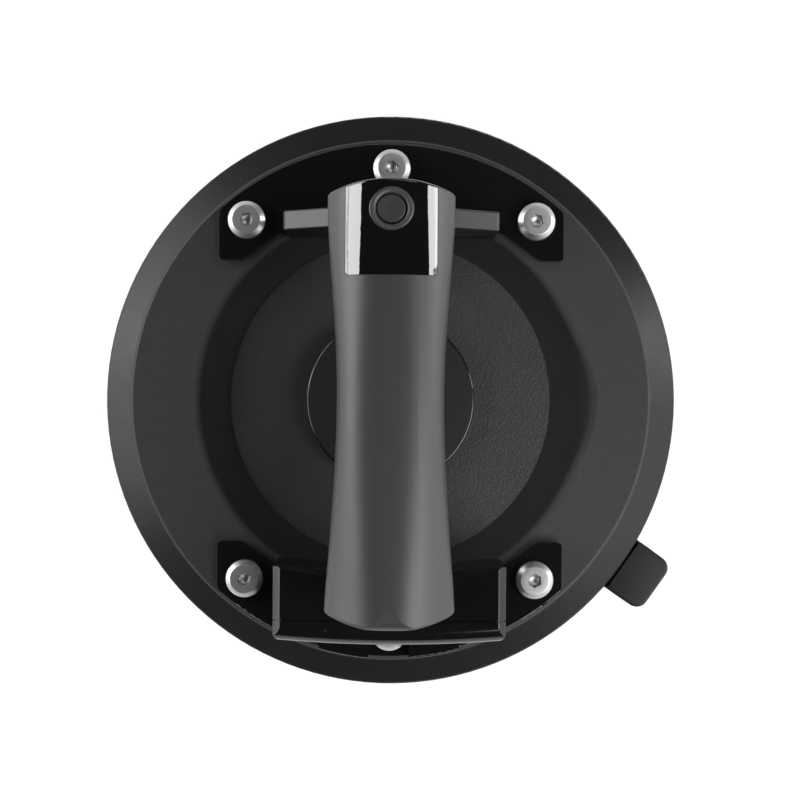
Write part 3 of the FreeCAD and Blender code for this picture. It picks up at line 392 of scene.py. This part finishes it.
def tab_sections(outline, low, high):
    """The tab's outline at heights from low to high, drawn in near both faces to round the edge."""
    middle, straight, steps = (low + high) / 2, (high - low) / 2 - TAB_EDGE, 8
    for k in range(steps + 1):
        angle = math.pi * (k / steps - 0.5)
        z = middle + straight * (2 * k > steps) - straight * (2 * k < steps) + TAB_EDGE * math.sin(angle)
        inward = TAB_EDGE * (1 - math.cos(angle))
        section = []
        for i, point in enumerate(outline):
            along = (outline[(i + 1) % len(outline)] - outline[i - 1]).normalized()
            inside = point + Vector((-along.y, along.x)) * inward
            section.append((inside.x, inside.y, z))
        yield section


def pull_tab():
    """Soft flat tab with rounded edges, turned to where the disc carries it."""
    low, high = span("pull_tab")
    half = TAB_WIDTH / 2
    side = [(TAB_REACH, half - 0.2, TAB_CORNER), (TAB_ROOT_R + 4.2, half, 6), (TAB_ROOT_R, half - 0.1, 0.4)]
    outline = rounded([(x, -y, radius) for x, y, radius in reversed(side)] + side, steps=8)
    form = bmesh.new()
    rows = rings(form, list(tab_sections(outline, low.z, high.z)), close=False)
    form.faces.new(rows[0])
    form.faces.new(rows[-1])
    bmesh.ops.rotate(form, verts=form.verts, cent=(0, 0, 0), matrix=Matrix.Rotation(TAB_ANGLE, 3, "Z"))
    solid("pull_tab_soft", form, "tab", "tab_rubber", replaced=("pull_tab",), sharp=50)


foot_screws()
hub_cover()
pad_trim()
button()
button_skirt()
pull_tab()


# Floor, camera and light, in metres and degrees
FLOOR_HALF, FLOOR_TONE = 3.0, 0.8
FLOOR_GLOW, GLOW_SHARE = 1.2, 0.75
SKY_TONE, HORIZON_HEIGHT = 0.02, 0.04
LENS_MM, SENSOR_MM, LENS_SHIFT = 70.0, 36.0, 0.0119
EYE_HEIGHT, EYE_ROLL = 0.556, 0.35
LAMP_AIM, LAMP_DISTANCE = Vector((0, 0, 0.04)), 0.8
# Azimuth from +X, elevation, width, height, radiance. The strips are seen as bands in the glossy panel.
LAMPS = {
    "left_low": (168, 6, 1.0, 0.16, 2.8),
    "left": (170, 25, 1.0, 0.30, 5.1),
    "left_strip": (165, 25, 0.18, 0.30, 3.0),
    "left_edge": (165, 9, 0.18, 0.16, 5.0),
    "right": (-14, 7, 1.0, 0.20, 2.1),
    "right_strip": (14, 11, 0.14, 0.37, 8.0),
    "right_middle": (-25, 32, 0.5, 0.2, 8.5),
    "right_high": (-35, 50, 0.8, 0.3, 4.4),
    "front_high": (60, 50, 0.6, 0.25, 1.5),
}


def background(nodes):
    shader = nodes.new("ShaderNodeBackground")
    shader.inputs["Strength"].default_value = 1.0
    shader.inputs["Color"].default_value = (1, 1, 1, 1)
    return shader


def seen_rays(nodes, links):
    """1 for rays from the camera, and for mirror and glass rays."""
    path = nodes.new("ShaderNodeLightPath")
    value = path.outputs["Is Camera Ray"]
    for kind in ("Is Glossy Ray", "Is Transmission Ray"):
        value = calculate(nodes, links, "MAXIMUM", value, path.outputs[kind])
    return value


def pale_floor():
    """Pale floor that looks white to the camera and to mirror rays and keeps a light shadow."""
    mesh = bpy.data.meshes.new("floor")
    corners = [(x * FLOOR_HALF, y * FLOOR_HALF, 0) for x, y in ((-1, -1), (1, -1), (1, 1), (-1, 1))]
    mesh.from_pydata(corners, [], [(0, 1, 2, 3)])
    floor = bpy.data.objects.new("floor", mesh)
    scene.collection.objects.link(floor)
    material = bpy.data.materials.new("pale_floor")
    material.use_nodes = True
    nodes, links = material.node_tree.nodes, material.node_tree.links
    nodes.clear()
    diffuse = nodes.new("ShaderNodeBsdfDiffuse")
    diffuse.inputs["Color"].default_value = (FLOOR_TONE, FLOOR_TONE, FLOOR_TONE, 1)
    glow = nodes.new("ShaderNodeEmission")
    glow.inputs["Color"].default_value = (1, 1, 1, 1)
    glow.inputs["Strength"].default_value = FLOOR_GLOW
    both = nodes.new("ShaderNodeMixShader")
    both.inputs["Fac"].default_value = GLOW_SHARE
    links.new(diffuse.outputs["BSDF"], both.inputs[1])
    links.new(glow.outputs["Emission"], both.inputs[2])
    seen = nodes.new("ShaderNodeMixShader")
    links.new(seen_rays(nodes, links), seen.inputs["Fac"])
    links.new(diffuse.outputs["BSDF"], seen.inputs[1])
    links.new(both.outputs["Shader"], seen.inputs[2])
    links.new(seen.outputs["Shader"], nodes.new("ShaderNodeOutputMaterial").inputs["Surface"])
    mesh.materials.append(material)


def studio_world():
    """White to the camera; for light and reflections pale at the horizon and dark overhead."""
    world = bpy.data.worlds.new("studio")
    scene.world = world
    world.use_nodes = True
    nodes, links = world.node_tree.nodes, world.node_tree.links
    nodes.clear()
    white, dim = background(nodes), background(nodes)
    height = nodes.new("ShaderNodeSeparateXYZ")
    links.new(nodes.new("ShaderNodeTexCoord").outputs["Generated"], height.inputs["Vector"])
    ramp = nodes.new("ShaderNodeValToRGB")
    ramp.color_ramp.elements[0].color = (1, 1, 1, 1)
    ramp.color_ramp.elements[1].color = (SKY_TONE, SKY_TONE, SKY_TONE, 1)
    ramp.color_ramp.elements[1].position = HORIZON_HEIGHT
    links.new(height.outputs["Z"], ramp.inputs["Fac"])
    links.new(ramp.outputs["Color"], dim.inputs["Color"])
    mix = nodes.new("ShaderNodeMixShader")
    links.new(nodes.new("ShaderNodeLightPath").outputs["Is Camera Ray"], mix.inputs["Fac"])
    links.new(dim.outputs["Background"], mix.inputs[1])
    links.new(white.outputs["Background"], mix.inputs[2])
    links.new(mix.outputs["Shader"], nodes.new("ShaderNodeOutputWorld").inputs["Surface"])


def softbox(name, azimuth, elevation, wide, tall, radiance):
    """Area lamp that faces the object and isn't seen by the camera."""
    a, e = math.radians(azimuth), math.radians(elevation)
    lamp = bpy.data.lights.new(name, "AREA")
    lamp.shape = "RECTANGLE"
    lamp.size, lamp.size_y = wide, tall
    lamp.energy = radiance * math.pi * wide * tall
    place = Vector((math.cos(a) * math.cos(e), math.sin(a) * math.cos(e), math.sin(e))) * LAMP_DISTANCE
    box = bpy.data.objects.new(name, lamp)
    scene.collection.objects.link(box)
    box.location = LAMP_AIM + place
    box.rotation_mode = "QUATERNION"
    box.rotation_quaternion = place.to_track_quat("Z", "Y")
    box.visible_camera = False


def camera():
    """Camera straight above, turned a little as the object in the photograph is."""
    lens = bpy.data.cameras.new("camera")
    lens.lens = LENS_MM
    lens.sensor_width = SENSOR_MM
    lens.shift_x = LENS_SHIFT
    lens.clip_start = 0.01
    eye = bpy.data.objects.new("camera", lens)
    eye.location = (0, 0, EYE_HEIGHT)
    eye.rotation_euler.z = math.radians(EYE_ROLL)
    scene.collection.objects.link(eye)
    scene.camera = eye


pale_floor()
studio_world()
camera()
for name, lamp in LAMPS.items():
    softbox(name, *lamp)
scene.view_settings.view_transform = "Standard"
